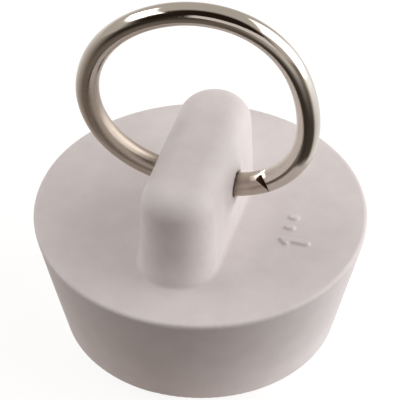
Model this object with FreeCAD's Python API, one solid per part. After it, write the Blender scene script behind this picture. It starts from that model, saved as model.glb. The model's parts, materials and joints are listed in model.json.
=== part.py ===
"""A one inch drain stopper: a moulded rubber plug with a lug on its top, and a wire pull ring through the lug.

Millimetres. The origin is the middle of the underside and +Z points up out of the drain.
The lug runs along Y and its bore along X, so the ring swings towards +Y and -Y.
"""
import FreeCAD, Part
import math
import os
from FreeCAD import Placement, Rotation, Vector

# Tapered plug
plug_top_diameter = 28.8
plug_bottom_diameter = 23.4
plug_height = 11.0
plug_rim_round = 0.3
plug_bottom_round = 0.25

# Lug on the plug's top face, set a little to the -Y side
lug_width = 6.7
lug_length = 17.4
lug_height = 8.8
lug_offset = 1.15
lug_draft_degrees = 1.7
lug_top_round = 2.05
lug_foot_round = 0.3

# Pull ring and the bore that it swings in
wire_diameter = 2.0
ring_inner_diameter = 17.0
ring_lean_degrees = 1.6
bore_height = 5.0
bore_clearance = 0.02
bore_mouth_round = 0.3

# Butted ends of the ring's wire: one cut square, the other cut to a bevel
joint_from_bottom_degrees = 35.0
joint_gap = 0.1
joint_bevel_degrees = 27.0
joint_roll_degrees = 31.0

# Raised size mark: a numeral and two ticks, upright when read from the rim on the +X side
mark_relief = 0.2
mark_stroke = 0.45
mark_rim_distance = 4.55
mark_numeral_height = 2.2
mark_flag_length = 0.55
mark_flag_degrees = 40.0
mark_tick_length = 0.45
mark_tick_spacing = 1.3
mark_numeral_spacing = 1.55

# How far one shape reaches into or past another where they are joined or cut
overrun = 0.5

# Most of the lug's half width that its rounded top edge may take
widest_round = 0.95

# Worked out from the values above
plug_top_radius = plug_top_diameter / 2
plug_bottom_radius = plug_bottom_diameter / 2
wire_radius = wire_diameter / 2
ring_radius = ring_inner_diameter / 2 + wire_radius
lug_draft = math.tan(math.radians(lug_draft_degrees))
lug_top_z = plug_height + lug_height
lug_top_half_width = lug_width / 2 - lug_height * lug_draft
bore_centre = Vector(0, -lug_offset, plug_height + bore_height)
bore_length = lug_width - 2 * bore_height * lug_draft

# The wire is curved and the bore is straight, so the bore is wider than the wire by half the wire's sag.
# The wire's lowest point hangs that much below the bore's axis.
wire_exit_angle = math.asin(bore_length / 2 / ring_radius)
wire_sag = ring_radius * (1 - math.cos(wire_exit_angle))
bore_radius = wire_radius / math.cos(wire_exit_angle) + wire_sag / 2 + bore_clearance
ring_centre_rise = ring_radius - wire_sag / 2


def edges_within(shape, low, high):
    """Edges of a shape that lie wholly inside the box between two corners."""
    box = FreeCAD.BoundBox(low.x, low.y, low.z, high.x, high.y, high.z)
    return [edge for edge in shape.Edges if box.isInside(edge.BoundBox)]


def make_plug():
    """Tapered body with its rim and its lower edge rounded."""
    body = Part.makeCone(plug_bottom_radius, plug_top_radius, plug_height)
    reach = plug_top_radius + overrun
    rim = edges_within(body, Vector(-reach, -reach, plug_height - overrun),
                       Vector(reach, reach, plug_height + overrun))
    body = body.makeFillet(plug_rim_round, rim)
    lower_edge = edges_within(body, Vector(-reach, -reach, -overrun), Vector(reach, reach, overrun))
    return body.makeFillet(plug_bottom_round, lower_edge)


def lug_outline(z):
    """Round-ended outline of the drafted lug at height z, without its rounded top."""
    inset = (z - plug_height) * lug_draft
    half_width = lug_width / 2 - inset
    half_straight = (lug_length - lug_width) / 2
    far = -lug_offset + half_straight
    near = -lug_offset - half_straight
    corners = [Vector(half_width, near, z), Vector(half_width, far, z),
               Vector(-half_width, far, z), Vector(-half_width, near, z)]
    far_tip = Vector(0, far + half_width, z)
    near_tip = Vector(0, near - half_width, z)
    edges = [Part.LineSegment(corners[0], corners[1]).toShape(),
             Part.Arc(corners[1], far_tip, corners[2]).toShape(),
             Part.LineSegment(corners[2], corners[3]).toShape(),
             Part.Arc(corners[3], near_tip, corners[0]).toShape()]
    return Part.Wire(edges)


def make_lug():
    """Lug with a rounded top edge, rooted in the plug."""
    lug = Part.makeLoft([lug_outline(plug_height - overrun), lug_outline(lug_top_z)], True, True)
    reach = lug_length + lug_offset
    top_edges = edges_within(lug, Vector(-reach, -reach, lug_top_z - overrun),
                             Vector(reach, reach, lug_top_z + overrun))
    return lug.makeFillet(min(lug_top_round, widest_round * lug_top_half_width), top_edges)


def round_foot(stopper):
    """Rounds the corner where the lug rises from the plug's top face."""
    half_width = lug_width / 2 + overrun
    half_length = lug_length / 2 + overrun
    tolerance = plug_rim_round / 10
    foot = edges_within(stopper, Vector(-half_width, -lug_offset - half_length, plug_height - tolerance),
                        Vector(half_width, -lug_offset + half_length, plug_height + tolerance))
    return stopper.makeFillet(lug_foot_round, foot)


def bore_through(stopper):
    """Cuts the cross bore and rounds its two mouths."""
    cut_length = lug_width + 2 * overrun
    start = bore_centre - Vector(cut_length / 2, 0, 0)
    stopper = stopper.cut(Part.makeCylinder(bore_radius, cut_length, start, Vector(1, 0, 0)))
    tolerance = bore_mouth_round / 10
    half_box = Vector(bore_length / 2, bore_radius + tolerance, bore_radius + tolerance)
    mouths = []
    for side in (-1, 1):
        middle = bore_centre + Vector(side * 3 * bore_length / 4, 0, 0)
        mouths += edges_within(stopper, middle - half_box, middle + half_box)
    return stopper.makeFillet(bore_mouth_round, mouths)


def mark_bar(start, end):
    """One raised stroke of the size mark, with round ends, between two points on the top face."""
    length = (end - start).Length
    height = overrun + mark_relief
    bar = Part.makeBox(length, mark_stroke, height, Vector(0, -mark_stroke / 2, 0))
    for x in (0, length):
        bar = bar.fuse(Part.makeCylinder(mark_stroke / 2, height, Vector(x, 0, 0)))
    turn = Rotation(Vector(1, 0, 0), end - start)
    bar.Placement = Placement(start + Vector(0, 0, plug_height - overrun), turn)
    return bar.removeSplitter()


def make_mark():
    """Strokes of the size mark."""
    foot_x = plug_top_radius - mark_rim_distance
    top_x = foot_x - mark_numeral_height
    numeral_y = -(mark_numeral_spacing + mark_tick_spacing) / 2
    numeral_top = Vector(top_x, numeral_y, 0)
    flag_angle = math.radians(mark_flag_degrees)
    flag = Vector(math.cos(flag_angle), -math.sin(flag_angle), 0) * mark_flag_length
    strokes = [mark_bar(numeral_top, Vector(foot_x, numeral_y, 0)),
               mark_bar(numeral_top, numeral_top + flag)]
    for tick in range(2):
        tick_y = numeral_y + mark_numeral_spacing + tick * mark_tick_spacing
        strokes.append(mark_bar(Vector(top_x, tick_y, 0), Vector(top_x + mark_tick_length, tick_y, 0)))
    return strokes


def make_stopper():
    """The whole rubber moulding as one solid."""
    stopper = make_plug().fuse(make_lug()).removeSplitter()
    stopper = round_foot(stopper)
    stopper = bore_through(stopper)
    for stroke in make_mark():
        stopper = stopper.fuse(stroke)
    return stopper.removeSplitter()


def joint_cutter(centre):
    """Wedge between the wire's two ends: a narrow gap on one side of the wire that opens to a bevel."""
    around = math.radians(joint_from_bottom_degrees)
    roll = math.radians(joint_roll_degrees)
    outward = Vector(math.sin(around), 0, -math.cos(around))
    along = Vector(math.cos(around), 0, math.sin(around))
    inward = (outward * math.cos(roll) - Vector(0, math.sin(roll), 0)) * -1
    closed_side = centre + outward * ring_radius - inward * wire_radius
    depth = wire_diameter + overrun
    bevel = depth * math.tan(math.radians(joint_bevel_degrees))
    profile = [(-overrun, -joint_gap / 2), (-overrun, joint_gap / 2), (depth, joint_gap / 2),
               (depth, -joint_gap / 2 - bevel), (0, -joint_gap / 2)]
    axis = inward.cross(along)
    reach = wire_radius + overrun
    points = [closed_side + inward * deep + along * side - axis * reach for deep, side in profile]
    face = Part.Face(Part.makePolygon(points + points[:1]))
    return face.extrude(axis * 2 * reach)


def make_ring():
    """Round ring of wire, open at its butted ends, leaning as it stands in the lug."""
    centre = Vector(0, 0, ring_centre_rise)
    ring = Part.makeTorus(ring_radius, wire_radius, centre, Vector(0, 1, 0))
    ring = ring.cut(joint_cutter(centre))
    ring.Placement = Placement(bore_centre, Rotation(Vector(1, 0, 0), ring_lean_degrees))
    return ring


os.makedirs("parts", exist_ok=True)
nodes = {"rubber_stopper": make_stopper(), "pull_ring": make_ring()}
for name, shape in nodes.items():
    solid = shape.Solids[0]
    solid.exportStep(f"parts/{name}.step")
    box = solid.BoundBox
    print(name, len(shape.Solids), "solid, valid", solid.isValid(), "volume", round(solid.Volume, 2),
          "z", round(box.ZMin, 3), round(box.ZMax, 3))
print("bore radius", round(bore_radius, 3), "gap between ring and stopper",
      round(nodes["rubber_stopper"].distToShape(nodes["pull_ring"])[0], 3))
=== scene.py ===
"""Looks of the drain stopper: a satin rubber moulding and a bright nickel wire ring, on a white table."""
import json
import math

import bmesh
import bpy
import numpy as np
from mathutils import Matrix, Vector, noise


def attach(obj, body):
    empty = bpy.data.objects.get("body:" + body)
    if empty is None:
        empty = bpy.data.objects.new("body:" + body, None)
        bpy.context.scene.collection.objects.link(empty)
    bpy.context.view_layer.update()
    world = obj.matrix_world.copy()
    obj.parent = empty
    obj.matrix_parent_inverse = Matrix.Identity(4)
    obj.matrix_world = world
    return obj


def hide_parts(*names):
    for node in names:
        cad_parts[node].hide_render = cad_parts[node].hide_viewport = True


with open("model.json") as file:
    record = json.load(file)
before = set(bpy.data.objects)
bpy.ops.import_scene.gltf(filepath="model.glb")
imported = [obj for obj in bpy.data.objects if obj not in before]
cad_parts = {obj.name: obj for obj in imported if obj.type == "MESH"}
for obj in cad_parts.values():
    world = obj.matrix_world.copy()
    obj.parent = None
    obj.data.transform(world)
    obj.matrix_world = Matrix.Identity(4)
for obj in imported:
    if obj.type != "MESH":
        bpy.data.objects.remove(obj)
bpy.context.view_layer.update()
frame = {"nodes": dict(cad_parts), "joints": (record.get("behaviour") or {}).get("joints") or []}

# Shapes are worked out in millimetres and turned into metres at the end
mm = 0.001

# Middle of the bore, which is the ring's hinge, read from the frame
bore_centre = Vector(frame["joints"][0]["pos_m"]) / mm

# Camera, from the photo's perspective. Its nearest and farthest views are in metres.
camera_azimuth = 16.5
camera_elevation = 42.14
camera_distance = 383.0
camera_lens = 402.3
camera_sensor = 36.0
camera_rise = 0.995
camera_sidestep = -0.045
camera_nearest = 0.01
camera_farthest = 20.0

# Sizes of the rubber moulding
plug_top = 11.0
plug_bottom_radius = 11.7
plug_top_radius = 14.4
lug_half_width = 3.35
lug_half_straight = 5.35
lug_draft = math.tan(math.radians(1.7))
bore_radius = 1.36

# Mesh of the moulding. Between their rounded edges, its walls are moved back on to their true shape.
same_place = 0.0005
rubber_grid = 0.10
rubber_softening = 2
softening_share = 0.5
kept_faces = 0.3
trued_within = 0.05
edge_margin = 0.5
lug_wall_height = 6.5
not_zero = 0.1

# Faint swelling of the rubber, away from the face that it stands on
swell_height = 0.02
swell_size = 4.0
swell_fade = 1.0

# Rubber at the bore's mouths: a collar raised round the wire, and an edge drawn in towards it
flank_begins = 2.55
flank_fade = 0.5
lug_foot = 1.0
lug_fade = 1.0
collar_height_right = 0.38
collar_height_left = 0.05
collar_reach = 0.75
mouth_draw_right = 0.30
mouth_draw_left = 0.0
mouth_reach = 0.4

# Painted shade on the rubber's colour, in the crease along the lug's foot and round the bore's mouths
foot_shade = 0.35
foot_shade_reach = 0.22
mouth_shade = 0.7
mouth_shade_reach = 0.35

# Wire ring, bent by hand: a little out of round, with faint corners, and its sides a little out of plane.
# Each lobe is how many times it comes round, its share of the radius, and where it peaks, in degrees.
wire_radius = 0.994
ring_mean_radius = 9.435
ring_lean = math.radians(0.4)
ring_bend = 0.4
ring_offset = Vector((0.305, -0.07, 8.715))
ring_lobes = ((2, 0.0214, 16), (3, 0.031, 74), (4, 0.0125, 50))
ring_rise = Vector((0, -math.sin(ring_lean), math.cos(ring_lean)))
ring_side = Vector((0, math.cos(ring_lean), math.sin(ring_lean)))
ring_steps = 480
ring_sides = 64
sharp_corner = math.radians(25)

# Stretches of the wire, from where each sets in to where it ends, along the wire from +X towards +Z: one
# worn dull by rubbing, and one darker and browner where it runs through the bore and just past its mouths
rubbed_stretch = (27.5, 31.0)
rubbed_end = (50.2, 51.4)
darkened_stretch = (40.4, 41.4)
darkened_end = (47.4, 49.0)

# Butted ends of the wire: the nippers left a three-cornered notch between them, and a burr along its upper
# side. Places are across and up from the middle of the wire, as seen from where the nippers came.
joint_turn = math.radians(-55)
nipper_azimuth = 16.5
nipper_elevation = 42.0
notch_corners = ((0.52, -0.88), (-0.66, 0.14), (-0.20, 0.60))
notch_depths = (1.7, 0.5, -0.1)
slit_width = 0.04
slit_tilt = math.radians(4)
slit_mouth = 0.9
slit_half_depth = 2.0
slit_past_low = 0.6
slit_past_high = 0.9
burr_ends = ((-0.76, 0.29), (0.21, 0.97))
burr_half_width = 0.085
burr_tip = 0.02
burr_fullness = 0.6
burr_lift = 0.03
burr_slope_along = 0.26
burr_slope_across = 0.67
burr_root = 0.12
burr_steps = 24
sliver_width = 0.004

# Brightness of the table as the object sees it, by azimuth: pale behind and beside, dim in front by the
# camera. The tones by the plug's foot turn into those a little way off, and these into the far ones. The
# distances where they turn, and the table's reach, are in metres.
table_foot = ((-180, 0.8), (-100, 0.55), (-70, 0.52), (0, 0.33),
              (35, 0.58), (65, 0.86), (130, 1.0), (180, 0.8))
table_near = ((-180, 0.7), (-130, 1.0), (-75, 0.5), (-40, 0.18), (-14, 0.18),
              (0, 0.04), (70, 0.08), (88, 0.8), (130, 1.0), (180, 0.7))
table_far = ((-180, 0.7), (-130, 0.9), (-75, 0.5), (-37, 0.04), (-24, 0.03), (0, 0.22),
             (34, 0.7), (58, 0.2), (70, 0.25), (92, 1.25), (130, 1.3), (180, 0.7))
foot_ends = (0.017, 0.024)
far_begins = (0.04, 0.10)
table_reach = 3.0
table_paper = (0.28, 0.28, 0.28, 1)
table_glow = 0.82
dim_green_loss = 0.22
dim_blue_loss = 0.38

# Dim warm room, with a dark patch round one direction in front. Its edge runs between two cosines.
white = (1, 1, 1, 1)
room_colour = (0.56, 0.52, 0.48, 1)
dark_colour = (0.02, 0.012, 0.008, 1)
dark_azimuth = -6
dark_elevation = 32
dark_edge = (0.60, 0.79)

# Light panels, in metres. Each has its name, azimuth, elevation, distance, width, height, the brightness of
# its face and its colour.
light_aim = Vector((0, 0, 0.015))
light_panels = (
    ("right_panel", 109, 27, 0.11, 0.155, 0.135, 1.5, (1.0, 1.0, 1.0)),
    ("left_panel", -86, 33, 0.40, 0.40, 0.135, 3.0, (1.0, 1.0, 1.0)),
    ("front_strip", 8, 17, 0.20, 0.21, 0.085, 0.8, (1.0, 0.93, 0.92)),
)


def direction(azimuth, elevation):
    """Unit vector towards an azimuth, 0 at the front and 90 at +X, and an elevation, in degrees."""
    a = math.radians(azimuth)
    e = math.radians(elevation)
    return Vector((math.sin(a) * math.cos(e), -math.cos(a) * math.cos(e), math.sin(e)))


def facing(azimuth, elevation):
    """Across, up and towards the viewer, for a view from an azimuth and an elevation."""
    towards = direction(azimuth, elevation)
    across = Vector((0, 0, 1)).cross(towards).normalized()
    return across, towards.cross(across), towards


def add_object(name, data):
    """Puts a new object into the scene."""
    made = bpy.data.objects.new(name, data)
    bpy.context.scene.collection.objects.link(made)
    return made


def with_modifiers(worker):
    """The mesh of an object with its modifiers applied. The object itself is removed."""
    graph = bpy.context.evaluated_depsgraph_get()
    mesh = bpy.data.meshes.new_from_object(worker.evaluated_get(graph))
    bpy.data.objects.remove(worker)
    return mesh


def weld(mesh, distance):
    """Joins the corners of a mesh that lie closer than a distance, and drops the slivers between them."""
    shape = bmesh.new()
    shape.from_mesh(mesh)
    bmesh.ops.remove_doubles(shape, verts=shape.verts, dist=distance)
    bmesh.ops.dissolve_degenerate(shape, edges=shape.edges, dist=distance)
    bmesh.ops.triangulate(shape, faces=[face for face in shape.faces if len(face.verts) > 4])
    shape.to_mesh(mesh)
    shape.free()


class Nodes:
    """Short form for building a node tree."""

    def __init__(self, tree):
        self.tree = tree
        tree.nodes.clear()

    def add(self, kind, inputs=None, **settings):
        """Adds a node. An input's value is a number, a colour, or the output socket of another node."""
        made = self.tree.nodes.new(kind)
        for key, value in settings.items():
            setattr(made, key, value)
        for key, value in (inputs or {}).items():
            if isinstance(value, bpy.types.NodeSocket):
                self.tree.links.new(value, made.inputs[key])
            else:
                made.inputs[key].default_value = value
        return made

    def place(self):
        """Place on the object, in metres."""
        return self.add("ShaderNodeTexCoord").outputs["Object"]

    def math(self, operation, first, second=0.0):
        """Result of a Math node."""
        return self.add("ShaderNodeMath", {0: first, 1: second}, operation=operation).outputs[0]

    def noise(self, vector, scale, detail=2.0, roughness=0.5):
        """Grey value of a Noise texture."""
        inputs = {"Vector": vector, "Scale": scale, "Detail": detail, "Roughness": roughness}
        return self.add("ShaderNodeTexNoise", inputs).outputs["Fac"]

    def spread(self, value, low, high, from_low=0.0, from_high=1.0, smooth=False):
        """A value moved from one range to another."""
        inputs = {"Value": value, 1: from_low, 2: from_high, 3: low, 4: high}
        kind = "SMOOTHSTEP" if smooth else "LINEAR"
        return self.add("ShaderNodeMapRange", inputs, interpolation_type=kind).outputs["Result"]

    def ramp(self, value, stops):
        """Colour that runs through stops, each a position from 0 to 1 and a colour."""
        made = self.add("ShaderNodeValToRGB", {"Fac": value})
        elements = made.color_ramp.elements
        for index, (position, colour) in enumerate(stops):
            stop = elements[index] if index < 2 else elements.new(position)
            stop.position = position
            stop.color = (*colour, 1)
        return made.outputs["Color"]

    def blend(self, share, first, second):
        """Colour between two colours."""
        inputs = {"Factor": share, 6: first, 7: second}
        return self.add("ShaderNodeMix", inputs, data_type="RGBA").outputs[2]

    def bump(self, height, strength, depth):
        """Normal of a bumpy surface, from the depth of its bumps in metres."""
        inputs = {"Strength": strength, "Distance": depth, "Height": height}
        return self.add("ShaderNodeBump", inputs).outputs["Normal"]

    def surface(self, inputs):
        """The material's shader and its output."""
        shader = self.add("ShaderNodeBsdfPrincipled", inputs)
        self.add("ShaderNodeOutputMaterial", {"Surface": shader.outputs[0]})

    def seen_or_lighting(self, lighting, seen):
        """One shader as the camera sees it, and another as it lights the object."""
        by_camera = self.add("ShaderNodeLightPath").outputs["Is Camera Ray"]
        return self.add("ShaderNodeMixShader", {0: by_camera, 1: lighting, 2: seen}).outputs[0]


def new_material(name):
    """An empty material and its nodes."""
    material = bpy.data.materials.new(name)
    material.use_nodes = True
    return material, Nodes(material.node_tree)


def rubber_material():
    """Pale grey moulding rubber: satin, faintly mottled, with a fine grain and specks, and painted shade
    along the lug's foot and round the bore's mouths.
    """
    deep = (0.738, 0.690, 0.697, 1)
    pale = (0.795, 0.750, 0.756, 1)
    speck_colour = (0.62, 0.55, 0.53, 1)
    # Colour of the painted shade along the lug's foot and round the bore's mouths
    shade_colour = (0.33, 0.26, 0.23, 1)
    mottle_scale = 420
    mottle_contrast = (0.3, 0.7)
    grain_scale = 5200
    grain_strength = 0.25
    grain_depth = 0.00001
    speck_scale = 2600
    speck_rarity = (0.70, 0.78)
    speck_strength = 0.25
    shade_patches = (0.3, 0.8)
    satin = (0.46, 0.58)
    gloss = 0.35
    material, nodes = new_material("moulded_rubber")
    place = nodes.place()
    mottle = nodes.noise(place, mottle_scale, detail=4, roughness=0.6)
    grain = nodes.noise(place, grain_scale)
    speck = nodes.spread(nodes.noise(place, speck_scale, detail=1), 0, speck_strength, *speck_rarity)
    # Painted shade: darker colour in the crease along the lug's foot and round the bore's mouths, broken up
    # by the mottle
    painted_shade = nodes.add("ShaderNodeAttribute", attribute_name="painted_shade").outputs["Fac"]
    patchy_shade = nodes.math("MULTIPLY", painted_shade, nodes.spread(mottle, *shade_patches))
    colour = nodes.blend(nodes.spread(mottle, 0, 1, *mottle_contrast), deep, pale)
    colour = nodes.blend(speck, colour, speck_colour)
    colour = nodes.blend(patchy_shade, colour, shade_colour)
    nodes.surface({
        "Base Color": colour,
        "Roughness": nodes.spread(mottle, *satin),
        "Normal": nodes.bump(grain, grain_strength, grain_depth),
        "Specular IOR Level": gloss,
    })
    return material


def stretch_of_wire(nodes, along, begins, ends):
    """1 on a stretch of the wire and 0 elsewhere, from where it begins and ends along the wire."""
    begun = nodes.spread(along, 0, 1, *begins, smooth=True)
    unended = nodes.spread(along, 1, 0, *ends, smooth=True)
    return nodes.math("MULTIPLY", begun, unended)


def nickel_material():
    """Bright nickel plate with faint drawing lines, dulled where the ring has rubbed in its bore."""
    warm = (0.63, 0.585, 0.525, 1)
    bright = (0.70, 0.655, 0.595, 1)
    rubbed_colour = (0.51, 0.432, 0.366, 1)
    darkened_colour = (0.20, 0.145, 0.10, 1)
    darkened_share = 0.75
    line_stretch = (0.12, 9.0, 1.0)
    line_scale = 1.6
    line_strength = 0.08
    line_depth = 0.00002
    line_roughness = (0.05, 0.11)
    line_contrast = (0.3, 0.7)
    haze_scale = 700
    haze_roughness = (0.0, 0.04)
    rubbed_share = (0.95, 0.55)
    rubbed_roughness = (0.18, 0.36)
    rubbed_contrast = (0.35, 0.65)
    material, nodes = new_material("nickel_plate")
    around = nodes.add("ShaderNodeUVMap", uv_map="wire").outputs["UV"]
    along = nodes.add("ShaderNodeSeparateXYZ", {0: around}).outputs["X"]
    stretched = nodes.add("ShaderNodeMapping", {"Vector": around, "Scale": line_stretch}).outputs[0]
    line = nodes.noise(stretched, line_scale, detail=3, roughness=0.6)
    haze = nodes.noise(nodes.place(), haze_scale, detail=3)
    rubbed = stretch_of_wire(nodes, along, rubbed_stretch, rubbed_end)
    # Darker and browner where the wire runs through the bore and just past its mouths
    darkened = stretch_of_wire(nodes, along, darkened_stretch, darkened_end)
    worn = nodes.math("MULTIPLY", rubbed, nodes.spread(line, *rubbed_share, *rubbed_contrast))
    colour = nodes.blend(haze, warm, bright)
    colour = nodes.blend(worn, colour, rubbed_colour)
    colour = nodes.blend(nodes.math("MULTIPLY", darkened, darkened_share), colour, darkened_colour)
    lined = nodes.spread(line, *line_roughness, *line_contrast)
    plain = nodes.math("ADD", lined, nodes.spread(haze, *haze_roughness))
    dull = nodes.math("MULTIPLY", rubbed, nodes.spread(line, *rubbed_roughness, *rubbed_contrast))
    nodes.surface({
        "Base Color": colour,
        "Metallic": 1.0,
        "Roughness": nodes.math("ADD", plain, dull),
        "Normal": nodes.bump(line, line_strength, line_depth),
    })
    return material


def cut_material():
    """Bare steel where the wire was pinched off: dark, rough and stained."""
    stained = (0.34, 0.22, 0.15, 1)
    clean = (0.56, 0.42, 0.32, 1)
    stain_scale = 2600
    stain_strength = 0.4
    stain_depth = 0.00003
    stain_roughness = (0.35, 0.6)
    bare_metal = 0.2
    material, nodes = new_material("cut_steel")
    stain = nodes.noise(nodes.place(), stain_scale, detail=3)
    nodes.surface({
        "Base Color": nodes.blend(stain, stained, clean),
        "Metallic": bare_metal,
        "Roughness": nodes.spread(stain, *stain_roughness),
        "Normal": nodes.bump(stain, stain_strength, stain_depth),
    })
    return material


def torn_material():
    """Bright matt nickel of the burr, where the nippers tore the plating."""
    dull = (0.86, 0.83, 0.78, 1)
    bright = (0.94, 0.92, 0.88, 1)
    tear_scale = 6000
    tear_roughness = (0.2, 0.34)
    material, nodes = new_material("torn_nickel")
    tear = nodes.noise(nodes.place(), tear_scale)
    nodes.surface({
        "Base Color": nodes.blend(tear, dull, bright),
        "Metallic": 1.0,
        "Roughness": nodes.spread(tear, *tear_roughness),
    })
    return material


def even_moulding():
    """The CAD moulding's mesh on an even grid, with its edges softened as rubber is."""
    mesh = frame["nodes"]["rubber_stopper"].data.copy()
    mesh.transform(Matrix.Scale(1 / mm, 4))
    weld(mesh, same_place)
    worker = add_object("rubber_worker", mesh)
    grid = worker.modifiers.new("Even grid", "REMESH")
    grid.mode = "VOXEL"
    grid.voxel_size = rubber_grid
    soft = worker.modifiers.new("Soft edges", "SMOOTH")
    soft.factor = softening_share
    soft.iterations = rubber_softening
    return with_modifiers(worker)


def thinned(mesh):
    """The mesh with fewer faces where the surface is plain."""
    worker = add_object("rubber_worker", mesh)
    thin = worker.modifiers.new("Fewer faces on plain surfaces", "DECIMATE")
    thin.ratio = kept_faces
    return with_modifiers(worker)


def point_rows(mesh, what):
    """The places or the normals of a mesh's points, one row for each."""
    rows = np.empty(len(mesh.vertices) * 3)
    mesh.vertices.foreach_get(what, rows)
    return rows.reshape(-1, 3)


def across_lug(place):
    """Each point's distance from the line along the lug's middle, and how far it is past the line's end."""
    along = place[:, 1] - bore_centre.y
    past_end = along - np.clip(along, -lug_half_straight, lug_half_straight)
    return np.hypot(place[:, 0], past_end), past_end


def lug_width_at(z):
    """Half width of the drafted lug at a height."""
    return lug_half_width - (z - plug_top) * lug_draft


def true_round(place):
    """Moves points of the plug's side and the lug's upright faces on to the true cone and outline."""
    x, y, z = place.T
    radius = np.hypot(x, y)
    cone = plug_bottom_radius + (plug_top_radius - plug_bottom_radius) * z / plug_top
    between_edges = (z > edge_margin) & (z < plug_top - edge_margin)
    on_side = (np.abs(radius - cone) < trued_within) & between_edges
    place[:, :2] *= np.where(on_side, cone / np.maximum(radius, not_zero), 1)[:, None]
    half, past_end = across_lug(place)
    width = lug_width_at(z)
    between_edges = (z > plug_top + edge_margin) & (z < plug_top + lug_wall_height)
    upright = (np.abs(half - width) < trued_within) & between_edges
    scale = np.where(upright, width / np.maximum(half, not_zero), 1)
    place[:, 0] *= scale
    place[:, 1] += past_end * (scale - 1)


def bell(value, width):
    """1 where a value is 0, falling away on both sides."""
    return np.exp(-(value / width) ** 2)


def rise(value, begins, over):
    """0 up to where a value begins, and then rising evenly to 1."""
    return np.clip((value - begins) / over, 0, 1)


def make_rubber():
    """The moulding: the CAD shape with soft edges, and rubber that swells round the wire at the mouths."""
    mesh = even_moulding()
    place = point_rows(mesh, "co")
    normal = point_rows(mesh, "normal")
    true_round(place)
    x, _, z = place.T.copy()

    from_axis = place - np.array(bore_centre)
    from_axis[:, 0] = 0
    distance = np.linalg.norm(from_axis, axis=1)
    on_flank = rise(np.abs(x), flank_begins, flank_fade) * rise(z, plug_top + lug_foot, lug_fade)

    half, _ = across_lug(place)
    # Painted shade, kept on the points: the crease along the lug's foot and a ring round each mouth of the
    # bore
    foot = bell(half - lug_half_width, foot_shade_reach) * bell(z - plug_top, foot_shade_reach)
    mouth = bell(distance - bore_radius, mouth_shade_reach) * on_flank
    painted_shade = mesh.attributes.new("painted_shade", "FLOAT", "POINT")
    painted_shade.data.foreach_set("value", np.maximum(foot_shade * foot, mouth_shade * mouth))

    swell = np.array([noise.noise(Vector(point) / swell_size) for point in place]) * swell_height
    collar_height = np.where(x > 0, collar_height_right, collar_height_left)
    collar = collar_height * bell(distance - bore_radius, collar_reach) * on_flank
    mouth_draw = np.where(x > 0, mouth_draw_right, mouth_draw_left)
    draw = mouth_draw * bell(distance - bore_radius, mouth_reach) * on_flank
    place += normal * (swell * rise(z, 0, swell_fade))[:, None]
    place[:, 0] += np.sign(x) * collar
    place -= from_axis * (draw / np.maximum(distance, not_zero))[:, None]
    mesh.vertices.foreach_set("co", place.ravel())

    mesh = thinned(mesh)
    mesh.transform(Matrix.Scale(mm, 4))
    mesh.shade_smooth()
    mesh.materials.clear()
    mesh.materials.append(rubber_material())
    piece = add_object("rubber_moulding", mesh)
    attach(piece, "stopper")
    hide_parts("rubber_stopper")


def ring_point(turn):
    """Point of the wire's centreline, turned from +X towards +Z."""
    swings = (size * math.cos(count * (turn - math.radians(peak))) for count, size, peak in ring_lobes)
    reach = ring_mean_radius * (1 + sum(swings))
    flat = math.cos(turn) * Vector((1, 0, 0)) + math.sin(turn) * ring_rise
    askew = ring_bend * math.cos(turn) * abs(math.cos(turn))
    return bore_centre + ring_offset + reach * flat + askew * ring_side


def ring_frame(turn):
    """Centre, direction along the wire, outward from the ring and across its plane, at one turn."""
    step = 0.001
    along = (ring_point(turn + step) - ring_point(turn - step)).normalized()
    outward = ring_side.cross(along).normalized()
    return ring_point(turn), along, outward, along.cross(outward)


def solid(name, corners, faces, material):
    """Closed mesh from its corners and faces."""
    shape = bmesh.new()
    made = [shape.verts.new(corner) for corner in corners]
    for face in faces:
        shape.faces.new([made[index] for index in face])
    bmesh.ops.recalc_face_normals(shape, faces=shape.faces)
    mesh = bpy.data.meshes.new(name)
    shape.to_mesh(mesh)
    shape.free()
    mesh.materials.append(material)
    return mesh


def notch_cutter(material):
    """Three-cornered notch that narrows to a line on the far side of the wire."""
    across, up, towards = facing(nipper_azimuth, nipper_elevation)
    middle = ring_point(joint_turn)
    front, halfway, back = notch_depths
    flat = [middle + across * x + up * y for x, y in notch_corners]
    corners = [point + towards * depth for depth in (front, halfway) for point in flat]
    corners += [flat[0] + towards * back, flat[2] + towards * back]
    faces = ((0, 1, 2), (0, 1, 4, 3), (1, 2, 5, 4), (2, 0, 3, 6, 7, 5), (3, 4, 6), (4, 7, 6), (4, 5, 7))
    return solid("notch_cutter", corners, faces, material)


def slit_cutter(material):
    """Thin slit through the wire along the notch's straight side, not quite in line with the view."""
    across, up, towards = facing(nipper_azimuth, nipper_elevation)
    middle = ring_point(joint_turn)
    low, _, high = (middle + across * x + up * y for x, y in notch_corners)
    run = (high - low).normalized()
    lean = run.cross(towards) * math.tan(slit_tilt)
    thick = run.cross(towards) * slit_width
    corners = []
    for depth in (-slit_half_depth, slit_half_depth):
        for end in (low - run * slit_past_low, high + run * slit_past_high):
            corner = end + towards * depth - lean * (slit_mouth - depth)
            corners += [corner, corner - thick]
    faces = ((0, 1, 3, 2), (4, 6, 7, 5), (0, 4, 5, 1), (2, 3, 7, 6), (0, 2, 6, 4), (1, 5, 7, 3))
    return solid("slit_cutter", corners, faces, material)


def on_wire(flat, middle, along, towards):
    """Point of the wire's near surface that is seen at a place beside the middle of the wire."""
    beside = flat - middle
    off_axis = beside - along * beside.dot(along)
    ray = towards - along * towards.dot(along)
    half = off_axis.dot(ray) / ray.length_squared
    rest = (off_axis.length_squared - wire_radius ** 2) / ray.length_squared
    return flat + towards * (math.sqrt(max(half ** 2 - rest, 0)) - half)


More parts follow.
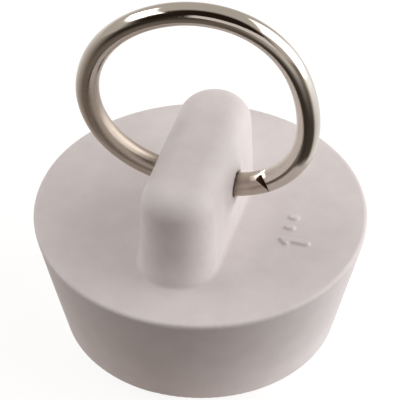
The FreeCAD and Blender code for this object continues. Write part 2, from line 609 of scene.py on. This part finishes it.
def burr_shape(material):
    """Flat pointed tongue of metal along the notch's upper side, lifted off the wire at its upper end."""
    across, up, towards = facing(nipper_azimuth, nipper_elevation)
    middle, along, *_ = ring_frame(joint_turn)
    first, last = (middle + across * x + up * y for x, y in burr_ends)
    run = (last - first).normalized()
    beside = run.cross(towards)
    lowest = on_wire(first, middle, along, towards)
    corners = []
    for step in range(burr_steps + 1):
        share = step / burr_steps
        bulge = math.sin(math.pi * (burr_tip + (1 - 2 * burr_tip) * share))
        width = burr_half_width * bulge ** burr_fullness
        reach = (last - first).length * share
        for off in (width, -width):
            lift = burr_lift + burr_slope_along * reach + burr_slope_across * off
            corners.append(lowest + run * reach + beside * off + towards * lift)
        for off in (-width, width):
            seated = on_wire(first + run * reach + beside * off, middle, along, towards)
            corners.append(seated - towards * burr_root)
    faces = [(0, 1, 2, 3), tuple(4 * burr_steps + corner for corner in (3, 2, 1, 0))]
    for start in range(0, 4 * burr_steps, 4):
        for corner in range(4):
            after = (corner + 1) % 4
            faces.append((start + corner, start + after, start + 4 + after, start + 4 + corner))
    return solid("burr", corners, faces, material)


def wire_tube():
    """Closed tube along the ring's centreline, with a map of millimetres along and around the wire."""
    shape = bmesh.new()
    wire_map = shape.loops.layers.uv.new("wire")
    rows = []
    for step in range(ring_steps):
        centre, _, outward, side = ring_frame(2 * math.pi * step / ring_steps)
        row = []
        for corner in range(ring_sides):
            angle = 2 * math.pi * corner / ring_sides
            spoke = math.cos(angle) * outward + math.sin(angle) * side
            row.append(shape.verts.new(centre + wire_radius * spoke))
        rows.append(row)
    step_length = 2 * math.pi * ring_mean_radius / ring_steps
    side_length = 2 * math.pi * wire_radius / ring_sides
    for step in range(ring_steps):
        for corner in range(ring_sides):
            spots = ((step, corner), (step, corner + 1), (step + 1, corner + 1), (step + 1, corner))
            face = shape.faces.new([rows[a % ring_steps][b % ring_sides] for a, b in spots])
            for loop, (a, b) in zip(face.loops, spots):
                loop[wire_map].uv = (a * step_length, b * side_length)
    bmesh.ops.recalc_face_normals(shape, faces=shape.faces)
    mesh = bpy.data.meshes.new("wire_tube")
    shape.to_mesh(mesh)
    shape.free()
    return mesh


def make_ring():
    """The pull ring, with its pinched-off butt joint."""
    nickel = nickel_material()
    bare = cut_material()
    tube = wire_tube()
    tube.materials.append(nickel)
    worker = add_object("ring_worker", tube)
    tools = (("DIFFERENCE", notch_cutter(bare)), ("DIFFERENCE", slit_cutter(bare)),
             ("UNION", burr_shape(torn_material())))
    helpers = []
    for operation, mesh in tools:
        helper = add_object(mesh.name, mesh)
        helpers.append(helper)
        cut = worker.modifiers.new(mesh.name, "BOOLEAN")
        cut.operation = operation
        cut.solver = "EXACT"
        cut.material_mode = "TRANSFER"
        cut.object = helper
    mesh = with_modifiers(worker)
    for helper in helpers:
        bpy.data.objects.remove(helper)
    weld(mesh, sliver_width)
    mesh.transform(Matrix.Scale(mm, 4))
    mesh.shade_smooth()
    mesh.set_sharp_from_angle(angle=sharp_corner)
    piece = add_object("wire_ring", mesh)
    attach(piece, "ring")
    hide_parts("pull_ring")


def warm_stops(greys):
    """Stops of a ramp round the table, from azimuths and greys. Dim greys are brownish."""
    stops = []
    for azimuth, grey in greys:
        dim = 1 - min(grey, 1)
        colour = (grey, grey * (1 - dim_green_loss * dim), grey * (1 - dim_blue_loss * dim))
        stops.append((azimuth / 360 + 0.5, colour))
    return stops


def make_floor():
    """White table, wide enough to reach the horizon. Its front, by the camera, lies in the dark."""
    mesh = bpy.data.meshes.new("floor")
    sides = ((-1, -1), (1, -1), (1, 1), (-1, 1))
    mesh.from_pydata([(x * table_reach, y * table_reach, 0) for x, y in sides], [], [(0, 1, 2, 3)])
    material, nodes = new_material("white_table")
    place = nodes.place()
    axes = nodes.add("ShaderNodeSeparateXYZ", {0: place}).outputs
    turn = nodes.math("ARCTAN2", axes["X"], nodes.math("MULTIPLY", axes["Y"], -1.0))
    around = nodes.spread(turn, 0, 1, -math.pi, math.pi)
    distance = nodes.add("ShaderNodeVectorMath", {0: place}, operation="LENGTH").outputs["Value"]
    zones = (table_foot, table_near, table_far)
    foot, near, far = (nodes.ramp(around, warm_stops(greys)) for greys in zones)
    tone = nodes.blend(nodes.spread(distance, 0, 1, *far_begins), near, far)
    tone = nodes.blend(nodes.spread(distance, 0, 1, *foot_ends), foot, tone)
    bounce = nodes.add("ShaderNodeEmission", {"Color": tone, "Strength": 1.0}).outputs[0]
    paper = nodes.add("ShaderNodeBsdfDiffuse", {"Color": table_paper}).outputs[0]
    glow = nodes.add("ShaderNodeEmission", {"Color": white, "Strength": table_glow}).outputs[0]
    table = nodes.add("ShaderNodeAddShader", {0: paper, 1: glow}).outputs[0]
    nodes.add("ShaderNodeOutputMaterial", {"Surface": nodes.seen_or_lighting(bounce, table)})
    mesh.materials.append(material)
    add_object("floor", mesh)


def make_world():
    """Dim warm room, dark towards the front, behind a white background."""
    world = bpy.data.worlds.new("studio")
    bpy.context.scene.world = world
    world.use_nodes = True
    nodes = Nodes(world.node_tree)
    way = nodes.add("ShaderNodeTexCoord").outputs["Generated"]
    front = direction(dark_azimuth, dark_elevation)
    cosine = nodes.add("ShaderNodeVectorMath", {0: way, 1: front}, operation="DOT_PRODUCT").outputs["Value"]
    dark = nodes.spread(cosine, 0, 1, *dark_edge, smooth=True)
    colour = nodes.blend(dark, room_colour, dark_colour)
    room = nodes.add("ShaderNodeBackground", {"Color": colour, "Strength": 1.0}).outputs[0]
    backdrop = nodes.add("ShaderNodeBackground", {"Color": white, "Strength": 1.0}).outputs[0]
    nodes.add("ShaderNodeOutputWorld", {"Surface": nodes.seen_or_lighting(room, backdrop)})


def add_softbox(name, azimuth, elevation, distance, width, height, radiance, colour):
    """A soft light panel that faces the object, with the brightness of its face."""
    panel = bpy.data.lights.new(name, "AREA")
    panel.color = colour
    panel.shape = "RECTANGLE"
    panel.size = width
    panel.size_y = height
    panel.energy = radiance * math.pi * width * height
    lamp = add_object(name, panel)
    away = direction(azimuth, elevation)
    lamp.location = light_aim + away * distance
    lamp.rotation_mode = "QUATERNION"
    lamp.rotation_quaternion = away.to_track_quat("Z", "Y")
    lamp.visible_camera = False


def make_lights():
    """Large panels right and left, and a low strip along the front."""
    for panel in light_panels:
        add_softbox(*panel)


def make_camera():
    """Camera at the photo's viewing angle."""
    data = bpy.data.cameras.new("camera")
    data.lens = camera_lens
    data.sensor_width = camera_sensor
    data.clip_start = camera_nearest
    data.clip_end = camera_farthest
    camera = add_object("camera", data)
    across, up, towards = facing(camera_azimuth, camera_elevation)
    aim = Vector((0, 0, plug_top)) + across * camera_sidestep + up * camera_rise
    camera.location = (aim + towards * camera_distance) * mm
    camera.rotation_mode = "QUATERNION"
    camera.rotation_quaternion = (-towards).to_track_quat("-Z", "Y")
    bpy.context.scene.camera = camera


make_rubber()
make_ring()
make_floor()
make_world()
make_lights()
make_camera()
bpy.context.scene.view_settings.view_transform = "Standard"
